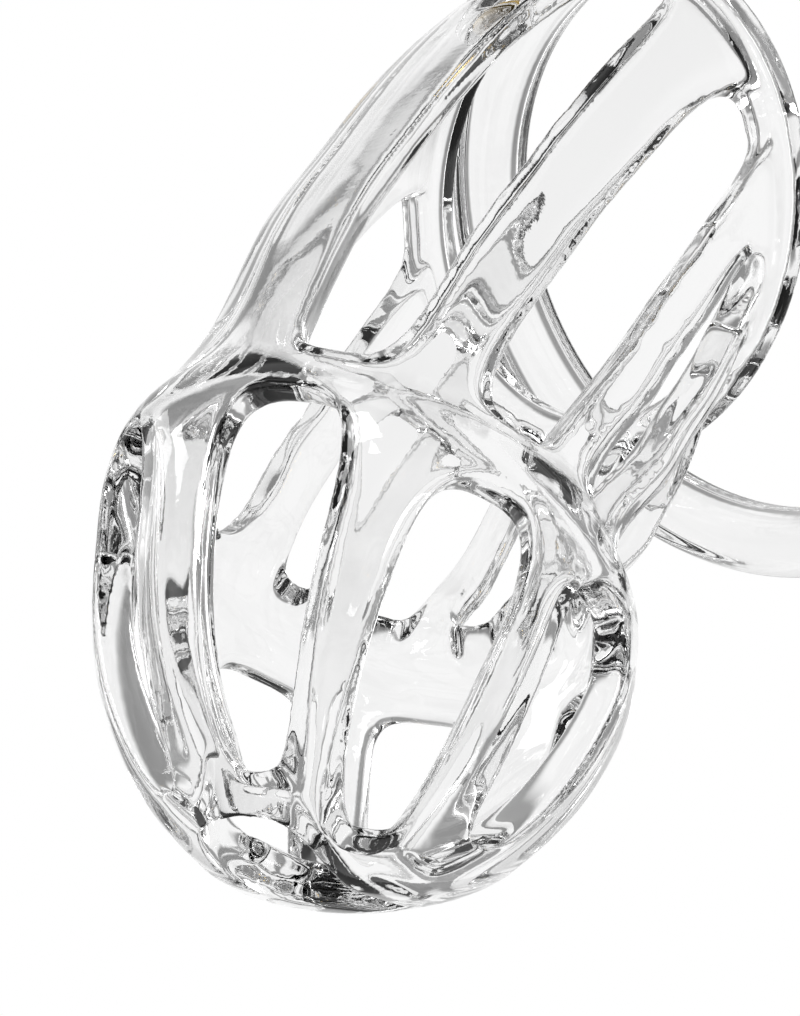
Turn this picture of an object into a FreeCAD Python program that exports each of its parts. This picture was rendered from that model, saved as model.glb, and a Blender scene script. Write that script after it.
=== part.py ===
import FreeCAD, Part
# Clear moulded wearable cage with its base ring and barrel lock.
# Frame: origin at the centre of the base ring's bore, +Y along the bore axis
# backwards (towards the wearer), -Y forwards to the closed tip, +Z up (the
# lock side), X across.  The part is mirror-symmetric about X = 0.
import os
import math
from FreeCAD import Vector, Matrix, Placement, Rotation

doc = FreeCAD.newDocument("wearable_cage")
sheet = doc.addObject("Spreadsheet::Sheet", "sizes")
row = [0]


def cell(alias, value):
    row[0] += 1
    sheet.set("A%d" % row[0], alias)
    sheet.set("B%d" % row[0], str(value))
    sheet.setAlias("B%d" % row[0], alias)


# ---- base ring, boss and post (mm)
for a, v in [
        ("ring_bore_rad", 22.5), ("ring_outer_rad", 27.5), ("ring_width", 5.6),
        ("ring_round", 1.7), ("boss_rad", 7.2), ("lock_height", 31.6),
        ("boss_web_half", 5.6), ("post_rad", 4.8), ("post_bore_rad", 3.35),
        ("post_length", 11.2), ("bore_end_y", 0.8),
        # ---- lock housing on the cage
        ("housing_rad", 7.2), ("housing_back_y", -3.1), ("housing_length", 14.4),
        ("housing_bore_rad", 5.0), ("housing_bore_length", 11.2),
        ("housing_hole_rad", 3.35), ("collar_pocket_rad", 4.3),
        ("collar_pocket_depth", 1.2), ("saddle_half", 5.2), ("saddle_front_y", -14.5), ("saddle_drop", 9.0),
        # ---- barrel
        ("barrel_rad", 3.25), ("barrel_back_y", 0.5), ("barrel_length", 18.0),
        ("collar_rad", 4.2), ("collar_depth", 1.1), ("core_offset", 0.6),
        ("barrel_bore_rad", 2.25), ("barrel_bore_length", 6.9),
        ("tail_bore_rad", 1.25), ("rear_bore_rad", 2.05), ("rear_bore_length", 6.5),
        ("cam_gap_back_y", -7.5), ("cam_gap_length", 3.1), ("cam_gap_rad", 4.4),
        ("groove_half", 1.25), ("groove_reach", 2.72),
        # ---- core, cam, clip, wafers
        ("core_rad", 2.2), ("core_front_y", -17.4), ("core_length", 6.75),
        ("tail_rad", 1.2), ("tail_length", 6.0), ("cam_rad", 3.8),
        ("cam_half_width", 1.5), ("cam_hub_rad", 2.0), ("cam_back_y", -7.65),
        ("cam_thickness", 2.8), ("clip_rad", 1.9), ("clip_inner_rad", 0.9),
        ("clip_back_y", -5.2), ("clip_thickness", 0.5),
        ("keyway_half", 0.3), ("keyway_height", 3.0), ("keyway_depth", 5.6),
        ("wafer_half_width", 1.1), ("wafer_thickness", 0.45), ("wafer_reach", 2.1),
        ("wafer_first_y", -15.9), ("wafer_pitch", 1.2), ("wafer_slack", 0.08),
        # ---- moulded cage: centre line of the tube and tilt of its sections
        ("flange_y", -15.5), ("flange_z", 7.3), ("neck_y", -49.5), ("neck_z", -8.6),
        ("handle_back", 7.0), ("handle_front", 10.0), ("heading_back", -4.0),
        ("heading_front", 52.0), ("tilt_back", -17.2), ("tilt_neck", 35.5),
        ("tilt_tip", 62.0), ("head_length", 27.5), ("wall", 3.0),
        ("flange_depth", 2.8), ("flange_rad", 20.0)]:
    cell(a, v)

# Stations along the cage: 0 = flange, 1 = neck ridge, 2 = tip.
# station, outer radius, shift of the centre away from the plain centre line
STATIONS = [("a", 0.0, 19.6, 0.0), ("b", 0.10, 19.1, -0.6), ("c", 0.25, 18.9, -1.3),
            ("d", 0.40, 18.75, -1.8), ("e", 0.55, 18.4, -1.85), ("f", 0.75, 17.55, -1.25),
            ("g", 0.88, 17.35, -0.65), ("h", 0.94, 18.05, -0.35), ("i", 1.0, 19.2, -0.1),
            ("j", 1.06, 19.75, -0.1), ("k", 1.18, 19.7, -0.25), ("l", 1.35, 19.3, -0.6),
            ("m", 1.52, 18.1, -1.0), ("n", 1.68, 16.0, -1.6), ("o", 1.80, 13.5, -2.1),
            ("p", 1.90, 10.3, -2.6), ("q", 1.965, 6.4, -2.9), ("r", 1.985, 4.2, -3.0)]
for k, v, r, s in STATIONS:
    cell("station_" + k, v)
    cell("outer_rad_" + k, r)
    cell("shift_" + k, s)
# Inside of the closed end.
INNER = [("a", 1.52, 14.7), ("b", 1.66, 12.3), ("c", 1.76, 9.6), ("d", 1.83, 6.4),
         ("e", 1.865, 3.6)]
for k, v, r in INNER:
    cell("inner_station_" + k, v)
    cell("inner_rad_" + k, r)
# Slots between the straps of the tube, degrees round from the top:
# neck side low and high edge, flange side low and high edge.
SHAFT_SLOTS = [("a", 17.0, 45.5, 17.5, 46.5), ("b", 66.0, 90.0, 71.0, 92.0),
               ("c", 104.5, 117.0, 107.0, 121.0), ("d", 128.0, 146.0, 131.0, 147.0),
               ("e", 156.0, 172.0, 157.0, 171.0)]
for k, a, b, c, d in SHAFT_SLOTS:
    cell("slot_%s_neck_low" % k, a)
    cell("slot_%s_neck_high" % k, b)
    cell("slot_%s_base_low" % k, c)
    cell("slot_%s_base_high" % k, d)
cell("slot_back_station", 0.035)
cell("slot_c_back_station", 0.10)
cell("slot_front_station", 0.925)
# Slots of the head: back and front station, centre angle at each, half widths.
HEAD_SLOTS = [("a", 1.045, 1.76, 26.0, 19.5, 15.5, 9.5), ("b", 1.13, 1.88, 71.5, 54.0, 13.5, 12.5),
              ("c", 1.17, 1.87, 109.0, 99.0, 13.5, 13.0), ("d", 1.15, 1.86, 151.0, 150.0, 14.0, 12.0)]
for k, v0, v1, t0, t1, w0, w1 in HEAD_SLOTS:
    cell("head_slot_%s_back" % k, v0)
    cell("head_slot_%s_front" % k, v1)
    cell("head_slot_%s_angle_back" % k, t0)
    cell("head_slot_%s_angle_front" % k, t1)
    cell("head_slot_%s_half_back" % k, w0)
    cell("head_slot_%s_half_front" % k, w1)
cell("tip_slot_half_width", 2.5)
cell("tip_slot_half_length", 9.6)
cell("tip_slot_centre", 2.4)
cell("tip_slot_flare", 1.25)
doc.recompute()


def g(alias):
    return float(sheet.get(alias))


# ------------------------------------------------------------------ helpers
def bind(obj, prop, expr):
    obj.setExpression(prop, expr)


def along(name, radius, length, back_y, height="sizes.lock_height"):
    """Cylinder on a line parallel to Y, from back_y forwards (towards -Y)."""
    c = doc.addObject("Part::Cylinder", name)
    c.Placement = Placement(Vector(0, 0, 0), Rotation(Vector(1, 0, 0), 90))
    bind(c, "Radius", radius)
    bind(c, "Height", length)
    bind(c, "Placement.Base.y", back_y)
    bind(c, "Placement.Base.z", height)
    return c


def box(name, lx, ly, lz, x, y, z):
    b = doc.addObject("Part::Box", name)
    for p, e in (("Length", lx), ("Width", ly), ("Height", lz),
                 ("Placement.Base.x", x), ("Placement.Base.y", y), ("Placement.Base.z", z)):
        bind(b, p, e)
    return b


def fuse(name, shapes):
    f = doc.addObject("Part::MultiFuse", name)
    f.Shapes = shapes
    return f


def cut(name, base, tool):
    c = doc.addObject("Part::Cut", name)
    c.Base = base
    c.Tool = tool
    return c


# ---------------------------------------------------------------- base ring
body = doc.addObject("PartDesign::Body", "ring_body")
sk = body.newObject("Sketcher::SketchObject", "ring_sketch")
plane = [f for f in body.Origin.OriginFeatures if f.Name.startswith("XZ_Plane")][0]
sk.AttachmentSupport = [(plane, "")]
sk.MapMode = "FlatFace"
import Sketcher
for nm, rr in (("bore", 22.5), ("outer", 27.5)):
    i = sk.addGeometry(Part.Circle(Vector(0, 0, 0), Vector(0, 0, 1), rr), False)
    sk.addConstraint(Sketcher.Constraint("Coincident", i, 3, -1, 1))
    j = sk.addConstraint(Sketcher.Constraint("Radius", i, rr))
    sk.renameConstraint(j, nm)
sk.setExpression("Constraints.bore", "sizes.ring_bore_rad")
sk.setExpression("Constraints.outer", "sizes.ring_outer_rad")
sk.setExpression("AttachmentOffset.Base.z", "-sizes.ring_width / 2")
pad = body.newObject("PartDesign::Pad", "ring_pad")
pad.Profile = sk
pad.setExpression("Length", "sizes.ring_width")
doc.recompute()
fil = body.newObject("PartDesign::Fillet", "ring_fillet")
edges = ["Edge%d" % (n + 1) for n, e in enumerate(pad.Shape.Edges)
         if abs(e.BoundBox.YMax - e.BoundBox.YMin) < 1e-6]
fil.Base = (pad, edges)
fil.setExpression("Radius", "sizes.ring_round")
body.Tip = fil
doc.recompute()

boss = along("ring_boss", "sizes.boss_rad", "sizes.ring_width", "sizes.ring_width / 2")
web = box("ring_web", "2 * sizes.boss_web_half", "sizes.ring_width", "sizes.lock_height - 25",
          "-sizes.boss_web_half", "-sizes.ring_width / 2", "25")
post = along("ring_post", "sizes.post_rad", "sizes.post_length + 1", "-sizes.ring_width / 2 + 1")
pbore = along("ring_post_bore", "sizes.post_bore_rad", "sizes.post_length + 10", "sizes.bore_end_y")
window = box("ring_window", "12", "sizes.cam_gap_length + 0.1", "12",
             "-1.6", "sizes.cam_gap_back_y - sizes.cam_gap_length - 0.05", "sizes.lock_height - 3.2")
ring_solid = fuse("ring_solid", [body, boss, web, post])
ring_cuts = fuse("ring_cuts", [pbore, window])
ring = cut("base_ring_cut", ring_solid, ring_cuts)
ring.Label = "base_ring"

# ------------------------------------------------------------- moulded cage
ST = [(g("station_" + k), g("outer_rad_" + k), g("shift_" + k)) for k, _, _, _ in STATIONS]
TILT = [(0.0, g("tilt_back")), (1.0, g("tilt_neck")), (1.5, g("heading_front")),
        (2.0, g("tilt_tip"))]
TH = g("wall")


def pch(xs, ys, x):
    """Monotone cubic through the stations."""
    n = len(xs)
    h = [xs[i + 1] - xs[i] for i in range(n - 1)]
    d = [(ys[i + 1] - ys[i]) / h[i] for i in range(n - 1)]
    m = [0.0] * n
    m[0], m[-1] = d[0], d[-1]
    for i in range(1, n - 1):
        if d[i - 1] * d[i] > 0:
            w1, w2 = 2 * h[i] + h[i - 1], h[i] + 2 * h[i - 1]
            m[i] = (w1 + w2) / (w1 / d[i - 1] + w2 / d[i])
    i = 0
    while i < n - 2 and x > xs[i + 1]:
        i += 1
    t = (x - xs[i]) / h[i]
    return ((2 * t**3 - 3 * t**2 + 1) * ys[i] + (t**3 - 2 * t**2 + t) * h[i] * m[i]
            + (-2 * t**3 + 3 * t**2) * ys[i + 1] + (t**3 - t**2) * h[i] * m[i + 1])


def tilt(v):
    if v < 0:
        v = 0.0
    return math.radians(pch([p[0] for p in TILT], [p[1] for p in TILT], v))


def rad(v):
    return pch([p[0] for p in ST], [p[1] for p in ST], v)


def centre(v):
    fy, fz, ny, nz = g("flange_y"), g("flange_z"), g("neck_y"), g("neck_z")
    a, b = math.radians(g("heading_back")), math.radians(g("heading_front"))
    if v < 0:
        f = tilt(0)
        return (fy - v * 38 * math.cos(f), fz + v * 38 * -math.sin(-f) * -1)
    if v <= 1:
        hb, hf = g("handle_back"), g("handle_front")
        p0, p3 = (fy, fz), (ny, nz)
        p1 = (fy - hb * math.cos(a), fz - hb * math.sin(a))
        p2 = (ny + hf * math.cos(b), nz + hf * math.sin(b))
        w = [(1 - v)**3, 3 * v * (1 - v)**2, 3 * v * v * (1 - v), v**3]
        q = [w[0] * p0[i] + w[1] * p1[i] + w[2] * p2[i] + w[3] * p3[i] for i in (0, 1)]
    else:
        t = (v - 1) * g("head_length")
        q = [ny - t * math.cos(b), nz - t * math.sin(b)]
    s = pch([p[0] for p in ST], [p[2] for p in ST], min(v, ST[-1][0]))
    f = tilt(v)
    return (q[0] - math.sin(f) * s, q[1] + math.cos(f) * s)


def surf(v, deg, dr=0.0):
    c, f, r, t = centre(v), tilt(v), rad(v) + dr, math.radians(deg)
    return Vector(r * math.sin(t), c[0] - math.sin(f) * r * math.cos(t),
                  c[1] + math.cos(f) * r * math.cos(t))


def section(c, f, r):
    """Circle of radius r about c (y, z), its plane tilted by f; seam at the bottom."""
    ex = Vector(0, math.sin(f), -math.cos(f))
    ez = Vector(0, -math.cos(f), -math.sin(f))
    ey = ez.cross(ex)
    m = Matrix(ex.x, ey.x, ez.x, 0, ex.y, ey.y, ez.y, c[0], ex.z, ey.z, ez.z, c[1], 0, 0, 0, 1)
    e = Part.Circle(Vector(0, 0, 0), Vector(0, 0, 1), r).toShape()
    e.transformShape(m)
    return Part.Wire([e])


def loft(secs):
    return Part.makeLoft([section(*s) for s in secs], True, False, False)


def outer(vs):
    return loft([(centre(v), tilt(v), rad(v)) for v in vs])


def inner(vs, extra=()):
    s = [(centre(v), tilt(v), rad(v) - TH) for v in vs]
    s += [(centre(v), tilt(v), r) for v, r in extra]
    return loft(s)


def slot(edge, n=3.0, count=48):
    """Cutter for a rounded slot: edge(y) gives station, low and high angle for
    y from -1 (back) to 1 (front); cut straight out from inside the tube."""
    pts = []
    for k in range(count):
        s = 2 * math.pi * k / count
        cx, sy = math.cos(s), math.sin(s)
        x = math.copysign(abs(cx)**(2 / n), cx)
        y = math.copysign(abs(sy)**(2 / n), sy)
        v, lo, hi = edge(y)
        pts.append(surf(v, (lo + hi) / 2 + x * (hi - lo) / 2))
    v, lo, hi = edge(0.0)
    c = centre(v)
    mid = surf(v, (lo + hi) / 2)
    o = Vector(0, c[0], c[1])
    d = (mid - o).normalize()
    base = o + d * 6.0
    flat = [p - d * ((p - base).dot(d)) for p in pts]
    b = Part.BSplineCurve()
    b.interpolate(flat, PeriodicFlag=True)
    return Part.Face(Part.Wire([b.toShape()])).extrude(d * 24.0)


def mirror(s):
    return s.mirror(Vector(0, 0, 0), Vector(1, 0, 0))


V0 = -g("flange_depth") / 38.0
SPLIT = 0.97


def flange_centre(v):
    f = tilt(0)
    return (g("flange_y") - v * 38 * math.cos(f), g("flange_z") - v * 38 * math.sin(f))


fr = g("flange_rad")
flange = loft([(flange_centre(V0), tilt(0), fr - 0.9), (flange_centre(V0 * 0.72), tilt(0), fr),
               (flange_centre(V0 * 0.3), tilt(0), fr), (flange_centre(0.0), tilt(0), rad(0.0))])
bore0 = loft([(flange_centre(V0 - 0.05), tilt(0), rad(0) - TH), (flange_centre(0.05), tilt(0), rad(0) - TH)])
flange = flange.cut(bore0)

shaft_v = [0.0, 0.10, 0.25, 0.40, 0.55, 0.75, 0.88, 0.94, SPLIT]
shaft_outer = outer(shaft_v)
shaft_inner = inner(shaft_v)
shaft = shaft_outer.cut(shaft_inner)
vb, vf = g("slot_back_station"), g("slot_front_station")
cutters = []
for k, _, _, _, _ in SHAFT_SLOTS:
    nl, nh = g("slot_%s_neck_low" % k), g("slot_%s_neck_high" % k)
    bl, bh = g("slot_%s_base_low" % k), g("slot_%s_base_high" % k)

    back = g("slot_c_back_station") if k == "c" else vb

    def edge(y, nl=nl, nh=nh, bl=bl, bh=bh, back=back):
        v = (back + vf) / 2 + (vf - back) / 2 * y
        w = (y + 1) / 2
        return v, bl + (nl - bl) * w, bh + (nh - bh) * w
    c = slot(edge, 4.0, 64)
    cutters += [c, mirror(c)]
shaft = shaft.cut(cutters)

head_v = [SPLIT, 1.0, 1.06, 1.18, 1.35, 1.52, 1.68, 1.80, 1.90, 1.965, 1.985]
head = outer(head_v)
hollow = inner([SPLIT, 1.0, 1.06, 1.18, 1.35],
               [(g("inner_station_" + k), g("inner_rad_" + k)) for k, _, _ in INNER])
head = head.cut(hollow)
cutters = []
for k, *_ in HEAD_SLOTS:
    p = [g("head_slot_%s_%s" % (k, w)) for w in
         ("back", "front", "angle_back", "angle_front", "half_back", "half_front")]

    def edge(y, p=p):
        w = (y + 1) / 2
        v = p[0] + (p[1] - p[0]) * w
        t = p[2] + (p[3] - p[2]) * w
        h = p[4] + (p[5] - p[4]) * w
        return v, t - h, t + h
    c = slot(edge, 3.8, 64)
    cutters += [c, mirror(c)]
f = tilt(2.0)
tc = centre(1.985)
q0, hl, hw = g("tip_slot_centre"), g("tip_slot_half_length"), g("tip_slot_half_width")
pts = []
for k in range(36):
    s = 2 * math.pi * k / 36
    x, q = hw * math.cos(s), q0 + hl * math.sin(s)
    w = math.exp(g("tip_slot_flare") * math.sin(s))
    pts.append(Vector(x * w, tc[0] - math.sin(f) * q + math.cos(f) * 13, tc[1] + math.cos(f) * q + math.sin(f) * 13))
b = Part.BSplineCurve()
b.interpolate(pts, PeriodicFlag=True)
cutters.append(Part.Face(Part.Wire([b.toShape()])).extrude(Vector(0, -math.cos(f), -math.sin(f)) * 26))
head = head.cut(cutters)


def feature(name, shape):
    o = doc.addObject("Part::Feature", name)
    o.Shape = shape
    o.Label = name
    return o


feature("cage_head", head)
feature("cage_shaft", shaft)
feature("cage_flange", flange)

# lock housing: cylinder and saddle, seated on the outside of the tube
hous = along("housing_body", "sizes.housing_rad", "sizes.housing_length", "sizes.housing_back_y")
sad = box("housing_saddle", "2 * sizes.saddle_half", "sizes.housing_back_y - 4 - sizes.saddle_front_y", "sizes.saddle_drop",
          "-sizes.saddle_half", "sizes.saddle_front_y", "sizes.lock_height - sizes.saddle_drop")
seat = feature("housing_seat", loft([(flange_centre(V0 - 0.2), tilt(0), rad(0)), (flange_centre(V0 * 0.3), tilt(0), rad(0)),
                                     (centre(0.0), tilt(0), rad(0))]).fuse(shaft_outer)
               .fuse(loft([(flange_centre(V0), tilt(0), fr - 0.9), (flange_centre(V0 * 0.72), tilt(0), fr),
                           (flange_centre(V0 * 0.3), tilt(0), fr), (flange_centre(0.0), tilt(0), rad(0.0))])))
hb = along("housing_bore", "sizes.housing_bore_rad", "sizes.housing_bore_length + 5", "sizes.housing_back_y + 5")
hh = along("housing_hole", "sizes.housing_hole_rad", "sizes.housing_length + 10", "sizes.housing_back_y + 5")
hp = along("housing_pocket", "sizes.collar_pocket_rad", "5",
           "sizes.housing_back_y - sizes.housing_length + sizes.collar_pocket_depth")
hsolid = fuse("housing_solid", [hous, sad])
hcuts = fuse("housing_cuts", [hb, hh, hp])
h1 = cut("housing_bored", hsolid, hcuts)
h2 = cut("housing_seated", h1, seat)
h2.Label = "lock_housing"

# ------------------------------------------------------------------- barrel
CZ = "sizes.lock_height + sizes.core_offset"
bar = along("barrel_body", "sizes.barrel_rad", "sizes.barrel_length", "sizes.barrel_back_y")
col = along("barrel_collar", "sizes.collar_rad", "sizes.collar_depth",
            "sizes.barrel_back_y - sizes.barrel_length + sizes.collar_depth")
bb = along("barrel_bore", "sizes.barrel_bore_rad", "sizes.barrel_bore_length + 5",
           "sizes.barrel_back_y - sizes.barrel_length + sizes.barrel_bore_length", CZ)
tb = along("barrel_tail_bore", "sizes.tail_bore_rad", "sizes.barrel_length", "sizes.barrel_back_y - 1", CZ)
rb = along("barrel_rear_bore", "sizes.rear_bore_rad", "sizes.rear_bore_length + 1", "sizes.barrel_back_y + 1", CZ)
gr = box("barrel_groove", "2 * sizes.groove_reach", "sizes.barrel_bore_length - 1.1", "2 * sizes.groove_half",
         "-sizes.groove_reach", "sizes.barrel_back_y - sizes.barrel_length + 1.1", CZ + " - sizes.groove_half")
gap_c = along("barrel_gap_round", "sizes.cam_gap_rad", "sizes.cam_gap_length", "sizes.cam_gap_back_y", CZ)
gap_k = box("barrel_gap_keep", "20", "sizes.cam_gap_length", "3.4", "-22.3",
            "sizes.cam_gap_back_y - sizes.cam_gap_length", CZ + " - 1.7")
gap = cut("barrel_gap", gap_c, gap_k)
bsolid = fuse("barrel_solid", [bar, col])
bcuts = fuse("barrel_cuts", [bb, tb, rb, gr, gap])
barrel = cut("barrel_cut", bsolid, bcuts)
barrel.Label = "lock_barrel"

# --------------------------------------------------------------------- core
core_a = along("core_plug", "sizes.core_rad", "sizes.core_length", "sizes.core_front_y + sizes.core_length", CZ)
core_t = along("core_tail", "sizes.tail_rad", "sizes.tail_length + 0.5",
               "sizes.core_front_y + sizes.core_length + sizes.tail_length", CZ)
kw = box("core_keyway", "2 * sizes.keyway_half", "sizes.keyway_depth + 1", "sizes.keyway_height",
         "-sizes.keyway_half", "sizes.core_front_y - 1", CZ + " - sizes.keyway_height / 2")
slots = []
for n in range(4):
    slots.append(box("core_wafer_slot_%s" % "abcd"[n], "6", "sizes.wafer_thickness + 2 * sizes.wafer_slack",
                     "2 * sizes.wafer_half_width + 2 * sizes.wafer_slack", "-3",
                     "sizes.wafer_first_y + %d * sizes.wafer_pitch - sizes.wafer_slack" % n,
                     CZ + " - sizes.wafer_half_width - sizes.wafer_slack"))
clip_groove_o = along("clip_groove_outer", "sizes.tail_rad + 1", "sizes.clip_thickness", "sizes.clip_back_y", CZ)
clip_groove_i = along("clip_groove_inner", "sizes.clip_inner_rad", "sizes.clip_thickness", "sizes.clip_back_y", CZ)
clip_groove = cut("clip_groove", clip_groove_o, clip_groove_i)
core = cut("core_cut", fuse("core_solid", [core_a, core_t]), fuse("core_cuts", [kw, clip_groove] + slots))
core.Label = "lock_core"

# cam: hub on the tail with one nose, nose down when unlocked
hub = along("cam_hub", "sizes.cam_hub_rad", "sizes.cam_thickness", "sizes.cam_back_y", CZ)
nose_r = along("cam_round", "sizes.cam_rad", "sizes.cam_thickness", "sizes.cam_back_y", CZ)
nose_b = box("cam_nose_box", "2 * sizes.cam_half_width", "sizes.cam_thickness", "5",
             "-sizes.cam_half_width", "sizes.cam_back_y - sizes.cam_thickness", CZ + " - 5")
nose = doc.addObject("Part::MultiCommon", "cam_nose")
nose.Shapes = [nose_r, nose_b]
hole = along("cam_hole", "sizes.tail_rad", "sizes.cam_thickness + 2", "sizes.cam_back_y + 1", CZ)
cam = cut("cam_cut", fuse("cam_solid", [hub, nose]), hole)
cam.Label = "locking_cam"

# clip: C-shaped, open downwards
cl_o = along("clip_outer", "sizes.clip_rad", "sizes.clip_thickness", "sizes.clip_back_y", CZ)
cl_i = along("clip_inner", "sizes.clip_inner_rad", "sizes.clip_thickness + 2", "sizes.clip_back_y + 1", CZ)
cl_b = box("clip_mouth", "1.3", "sizes.clip_thickness + 2", "3", "-0.65", "sizes.clip_back_y - sizes.clip_thickness - 1", CZ + " - 3")
clip = cut("clip_cut", cl_o, fuse("clip_cuts", [cl_i, cl_b]))
clip.Label = "core_clip"

# wafers: flat plates with a key window
for n in range(4):
    k = "abcd"[n]
    y = "sizes.wafer_first_y + %d * sizes.wafer_pitch" % n
    wb = box("wafer_plate_" + k, "8", "sizes.wafer_thickness", "2 * sizes.wafer_half_width", "-4", y, CZ + " - sizes.wafer_half_width")
    wr = along("wafer_round_" + k, "sizes.wafer_reach", "sizes.wafer_thickness", y + " + sizes.wafer_thickness", CZ)
    wc = doc.addObject("Part::MultiCommon", "wafer_blank_" + k)
    wc.Shapes = [wb, wr]
    ww = box("wafer_window_" + k, "1.9", "sizes.wafer_thickness + 2", "1.2", "-0.75", y + " - 1", CZ + " - 0.6")
    wf = cut("wafer_cut_" + k, wc, ww)
    wf.Label = "wafer_%d" % (n + 1)

doc.recompute()

NODES = ["base_ring", "cage_head", "cage_shaft", "cage_flange", "lock_housing", "lock_barrel",
         "lock_core", "locking_cam", "core_clip", "wafer_1", "wafer_2", "wafer_3", "wafer_4"]
bad = []
for o in doc.Objects:
    if "Invalid" in o.State or "Error" in o.State:
        bad.append((o.Name, o.State))
os.makedirs("parts", exist_ok=True)
for n in NODES:
    o = doc.getObjectsByLabel(n)[0]
    s = o.Shape
    if s.isNull() or not s.isValid() or not s.Solids:
        bad.append((n, "bad shape"))
        continue
    bb_ = s.BoundBox
    print("%-13s solids %d vol %9.1f  x %.2f..%.2f y %.2f..%.2f z %.2f..%.2f" % (
        n, len(s.Solids), s.Volume, bb_.XMin, bb_.XMax, bb_.YMin, bb_.YMax, bb_.ZMin, bb_.ZMax))
    s.exportStep("parts/%s.step" % n)
if bad:
    raise SystemExit("not valid: %s" % bad)
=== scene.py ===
import bpy
import math
from mathutils import Matrix, Quaternion, Vector


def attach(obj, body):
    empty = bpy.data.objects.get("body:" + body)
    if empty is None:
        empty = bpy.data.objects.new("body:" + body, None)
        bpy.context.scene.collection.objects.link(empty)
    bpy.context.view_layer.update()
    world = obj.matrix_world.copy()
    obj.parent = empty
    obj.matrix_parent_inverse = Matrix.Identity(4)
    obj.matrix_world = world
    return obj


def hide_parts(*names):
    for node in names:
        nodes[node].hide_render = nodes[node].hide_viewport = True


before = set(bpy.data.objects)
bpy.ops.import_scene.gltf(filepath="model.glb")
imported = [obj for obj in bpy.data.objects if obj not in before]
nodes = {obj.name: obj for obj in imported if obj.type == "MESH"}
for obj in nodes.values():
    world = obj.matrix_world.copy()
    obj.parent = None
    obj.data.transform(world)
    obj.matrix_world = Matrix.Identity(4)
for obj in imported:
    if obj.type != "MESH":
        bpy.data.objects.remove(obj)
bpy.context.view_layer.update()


# ------------------------------------------------------------------ materials
def noise(nt, vec, scale, detail):
    n = nt.nodes.new("ShaderNodeTexNoise")
    n.inputs["Scale"].default_value = scale
    n.inputs["Detail"].default_value = detail
    nt.links.new(vec, n.inputs["Vector"])
    return n.outputs["Fac"]


def bump(nt, height, distance, strength, under=None):
    b = nt.nodes.new("ShaderNodeBump")
    b.inputs["Strength"].default_value = strength
    b.inputs["Distance"].default_value = distance
    nt.links.new(height, b.inputs["Height"])
    if under is not None:
        nt.links.new(under, b.inputs["Normal"])
    return b.outputs["Normal"]


def clear_plastic(name, tint, ior=1.49):
    """Clear moulded plastic: a long slow waviness from shrinkage, a fine
    orange peel, and a polish that is a little duller in patches."""
    m = bpy.data.materials.new(name)
    m.use_nodes = True
    nt = m.node_tree
    p = nt.nodes["Principled BSDF"]
    p.inputs["Base Color"].default_value = tint
    p.inputs["IOR"].default_value = ior
    p.inputs["Transmission Weight"].default_value = 1.0
    tc = nt.nodes.new("ShaderNodeTexCoord")
    obj = tc.outputs["Object"]
    slow = bump(nt, noise(nt, obj, 260.0, 1.0), 0.00006, 0.35)
    fine = bump(nt, noise(nt, obj, 1700.0, 2.0), 0.000006, 0.35, slow)
    nt.links.new(fine, p.inputs["Normal"])
    rr = nt.nodes.new("ShaderNodeMapRange")
    rr.inputs["From Min"].default_value = 0.35
    rr.inputs["From Max"].default_value = 0.7
    rr.inputs["To Min"].default_value = 0.006
    rr.inputs["To Max"].default_value = 0.03
    nt.links.new(noise(nt, obj, 120.0, 3.0), rr.inputs["Value"])
    nt.links.new(rr.outputs["Result"], p.inputs["Roughness"])
    return m


def metal(name, col, rough, scale=0.0, bump=0.0):
    m = bpy.data.materials.new(name)
    m.use_nodes = True
    nt = m.node_tree
    p = nt.nodes["Principled BSDF"]
    p.inputs["Base Color"].default_value = col
    p.inputs["Metallic"].default_value = 1.0
    p.inputs["Roughness"].default_value = rough
    if bump:
        tc = nt.nodes.new("ShaderNodeTexCoord")
        nz = nt.nodes.new("ShaderNodeTexNoise")
        nz.inputs["Scale"].default_value = scale
        nz.inputs["Detail"].default_value = 4.0
        bm = nt.nodes.new("ShaderNodeBump")
        bm.inputs["Strength"].default_value = bump
        bm.inputs["Distance"].default_value = 0.0002
        nt.links.new(tc.outputs["Object"], nz.inputs["Vector"])
        nt.links.new(nz.outputs["Fac"], bm.inputs["Height"])
        nt.links.new(bm.outputs["Normal"], p.inputs["Normal"])
    return m


CLEAR = clear_plastic("clear_cage_mat", (0.925, 0.925, 0.925, 1))
CLEAR_RING = clear_plastic("clear_ring_mat", (0.925, 0.925, 0.925, 1))
BRASS = metal("brass_barrel_mat", (0.78, 0.56, 0.22, 1), 0.22, 900.0, 0.15)
BRASS_CORE = metal("brass_core_mat", (0.74, 0.52, 0.20, 1), 0.28, 900.0, 0.2)
STEEL = metal("steel_small_mat", (0.55, 0.55, 0.57, 1), 0.3)


# ------------------------------------------------------------------ meshes
def joined(name, names):
    """One object holding copies of the meshes of several nodes."""
    verts, faces, off = [], [], 0
    for n in names:
        me = nodes[n].data
        verts += [v.co[:] for v in me.vertices]
        faces += [tuple(i + off for i in p.vertices) for p in me.polygons]
        off += len(me.vertices)
    me = bpy.data.meshes.new(name)
    me.from_pydata(verts, [], faces)
    me.validate()
    o = bpy.data.objects.new(name, me)
    bpy.context.scene.collection.objects.link(o)
    return o


def baked(o):
    """The object's modifiers made into its mesh."""
    dg = bpy.context.evaluated_depsgraph_get()
    dg.update()
    me = bpy.data.meshes.new_from_object(o.evaluated_get(dg))
    o.modifiers.clear()
    o.data = me
    return o


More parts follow.
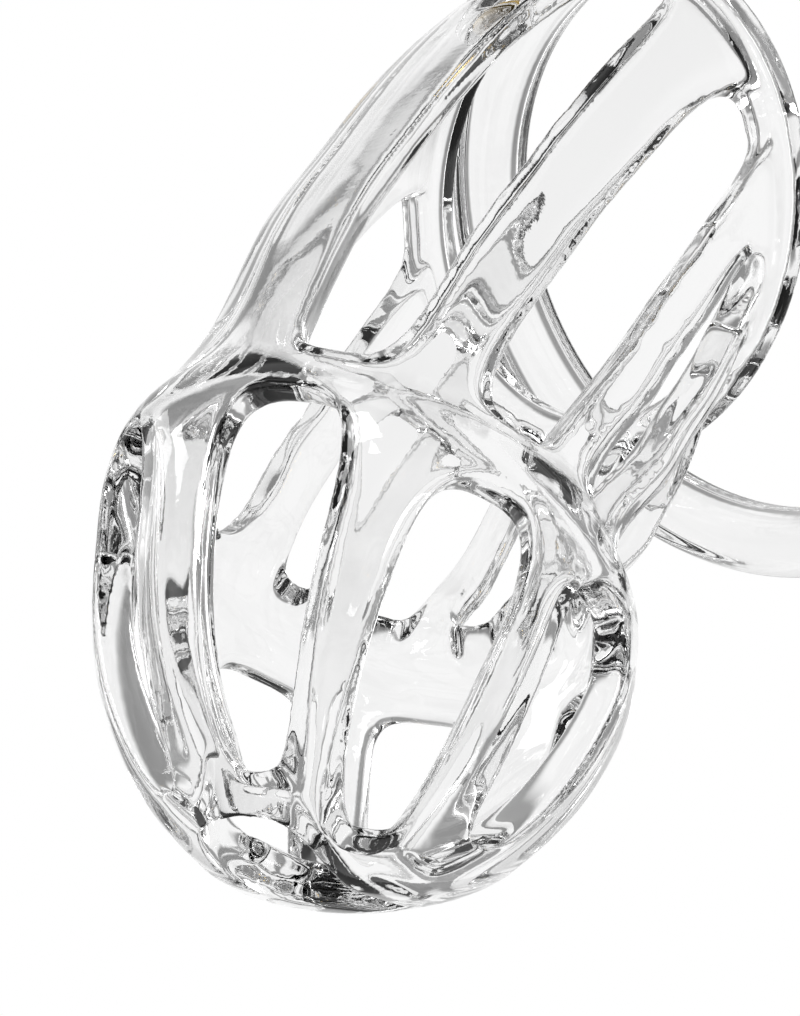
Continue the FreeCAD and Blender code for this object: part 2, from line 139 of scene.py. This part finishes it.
def moulded(name, names, voxel, rounds, mat):
    """Nodes as one moulding with softly rounded edges."""
    o = joined(name, names)
    r = o.modifiers.new("skin", "REMESH")
    r.mode = "VOXEL"
    r.voxel_size = voxel
    r.adaptivity = 0.0
    s = o.modifiers.new("soften", "SMOOTH")
    s.factor = 0.5
    s.iterations = rounds
    baked(o)
    o.data.materials.clear()
    o.data.materials.append(mat)
    for p in o.data.polygons:
        p.use_smooth = True
    return o


VOX = 0.0002
cage = moulded("cage_clear", ["cage_head", "cage_shaft", "cage_flange", "lock_housing"], VOX, 70, CLEAR)
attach(cage, "cage")
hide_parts("cage_head", "cage_shaft", "cage_flange", "lock_housing")

ring = moulded("ring_clear", ["base_ring"], 0.00016, 12, CLEAR_RING)
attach(ring, "ring")
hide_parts("base_ring")


def dressed(n, mat, bevel, body):
    """A turned or pressed metal part: the node with its edges just broken."""
    o = joined(n + "_shown", [n])
    w = o.modifiers.new("weld", "WELD")
    w.merge_threshold = 0.000005
    b = o.modifiers.new("edge", "BEVEL")
    b.width = bevel
    b.segments = 2
    b.limit_method = "ANGLE"
    b.angle_limit = math.radians(50)
    b.use_clamp_overlap = True
    baked(o)
    o.data.materials.clear()
    o.data.materials.append(mat)
    o.data.shade_smooth()
    o.data.set_sharp_from_angle(angle=math.radians(35))
    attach(o, body)
    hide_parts(n)
    return o


dressed("lock_barrel", BRASS, 0.00012, "barrel")
dressed("lock_core", BRASS_CORE, 0.00006, "core")
dressed("locking_cam", STEEL, 0.00008, "core")
dressed("core_clip", STEEL, 0.00004, "core")
for i, k in enumerate("abcd"):
    dressed("wafer_%d" % (i + 1), BRASS_CORE, 0.00003, "wafer_" + k)


# ------------------------------------------------------------------ surroundings
def math_node(nt, op, a, b=None, clamp=False):
    n = nt.nodes.new("ShaderNodeMath")
    n.operation = op
    n.use_clamp = clamp
    for i, v in enumerate((a, b)):
        if v is None:
            continue
        if isinstance(v, (int, float)):
            n.inputs[i].default_value = v
        else:
            nt.links.new(v, n.inputs[i])
    return n.outputs[0]


def ramp(nt, x, a, b):
    n = nt.nodes.new("ShaderNodeMapRange")
    n.interpolation_type = "SMOOTHSTEP"
    nt.links.new(x, n.inputs["Value"])
    n.inputs["From Min"].default_value = a
    n.inputs["From Max"].default_value = b
    n.inputs["To Min"].default_value = 0.0
    n.inputs["To Max"].default_value = 1.0
    return n.outputs["Result"]


AZ0 = math.atan2(0.76605, -0.638997)      # the way the camera looks, about Z


def band(nt, x, mid, half, soft):
    """1 inside mid +- half, 0 outside."""
    d = math_node(nt, "ABSOLUTE", math_node(nt, "SUBTRACT", x, mid))
    return math_node(nt, "SUBTRACT", 1.0, ramp(nt, d, half - soft, half + soft))


world = bpy.data.worlds.new("studio")
bpy.context.scene.world = world
world.use_nodes = True
nt = world.node_tree
nt.nodes.clear()
tc = nt.nodes.new("ShaderNodeTexCoord")
sep = nt.nodes.new("ShaderNodeSeparateXYZ")
nt.links.new(tc.outputs["Generated"], sep.inputs[0])
az = math_node(nt, "ARCTAN2", sep.outputs[1], sep.outputs[0])
# fold the azimuth about the camera's axis into 0..60 degrees, so every side has the same strips
rel = math_node(nt, "SUBTRACT", az, AZ0)
fold = math_node(nt, "PINGPONG", rel, math.radians(36))
strip = band(nt, fold, math.radians(36), math.radians(9), math.radians(4))
el = math_node(nt, "ARCSINE", sep.outputs[2])
ael = math_node(nt, "ABSOLUTE", el)
hi = band(nt, ael, math.radians(47), math.radians(11), math.radians(4))
dark = math_node(nt, "MAXIMUM", strip, hi)
light = math_node(nt, "SUBTRACT", 1.0, math_node(nt, "MULTIPLY", dark, 0.7))
bg_room = nt.nodes.new("ShaderNodeBackground")
bg_room.inputs["Color"].default_value = (1, 1, 1, 1)
nt.links.new(light, bg_room.inputs["Strength"])
bg_cam = nt.nodes.new("ShaderNodeBackground")
bg_cam.inputs["Color"].default_value = (1, 1, 1, 1)
bg_cam.inputs["Strength"].default_value = 1.0
lp = nt.nodes.new("ShaderNodeLightPath")
mix = nt.nodes.new("ShaderNodeMixShader")
nt.links.new(lp.outputs["Is Camera Ray"], mix.inputs[0])
nt.links.new(bg_room.outputs[0], mix.inputs[1])
nt.links.new(bg_cam.outputs[0], mix.inputs[2])
out = nt.nodes.new("ShaderNodeOutputWorld")
nt.links.new(mix.outputs[0], out.inputs["Surface"])

# pale floor, well below the worn part
fm = bpy.data.materials.new("floor_mat")
fm.use_nodes = True
ft = fm.node_tree
ft.nodes.clear()
em = ft.nodes.new("ShaderNodeEmission")
em.inputs["Color"].default_value = (1, 1, 1, 1)
em.inputs["Strength"].default_value = 1.0
fo = ft.nodes.new("ShaderNodeOutputMaterial")
ft.links.new(em.outputs[0], fo.inputs["Surface"])
me = bpy.data.meshes.new("floor")
S = 0.35
me.from_pydata([(-S, -S, -0.6), (S, -S, -0.6), (S, S, -0.6), (-S, S, -0.6)], [], [(0, 1, 2, 3)])
floor = bpy.data.objects.new("floor", me)
floor.data.materials.append(fm)
bpy.context.scene.collection.objects.link(floor)


def area(name, loc, size, power, col=(1, 1, 1)):
    ld = bpy.data.lights.new(name, "AREA")
    ld.shape = "RECTANGLE"
    ld.size, ld.size_y = size
    ld.energy = power
    ld.color = col
    lo = bpy.data.objects.new(name, ld)
    lo.location = loc
    lo.rotation_mode = "QUATERNION"
    lo.rotation_quaternion = (Vector(loc) * -1).to_track_quat("-Z", "Y")
    bpy.context.scene.collection.objects.link(lo)


area("key_light", (0.5, -0.5, 0.9), (0.5, 0.3), 4.0)
area("fill_light", (-0.8, -0.2, 0.3), (0.3, 0.6), 2.0)

# ------------------------------------------------------------------ camera
R = Vector((0.738822, 0.586034, -0.332725))
U = Vector((0.214068, 0.264068, 0.940448))
B = Vector((0.638997, -0.766050, 0.069648))
m = Matrix((R, U, B)).transposed()
F = 5128.0
d = Vector(((400 - 741.28) / F, -(508 - 236.49) / F, -1.0)).normalized()
q = m.to_quaternion() @ Vector((0, 0, -1)).rotation_difference(d)
cd = bpy.data.cameras.new("camera")
cd.lens = F * 36.0 / 1016.0
cd.sensor_width = 36.0
cd.clip_start = 0.01
cd.clip_end = 20.0
cam = bpy.data.objects.new("camera", cd)
cam.location = B * 0.4
cam.rotation_mode = "QUATERNION"
cam.rotation_quaternion = q
bpy.context.scene.collection.objects.link(cam)
bpy.context.scene.camera = cam
bpy.context.scene.view_settings.view_transform = "Standard"
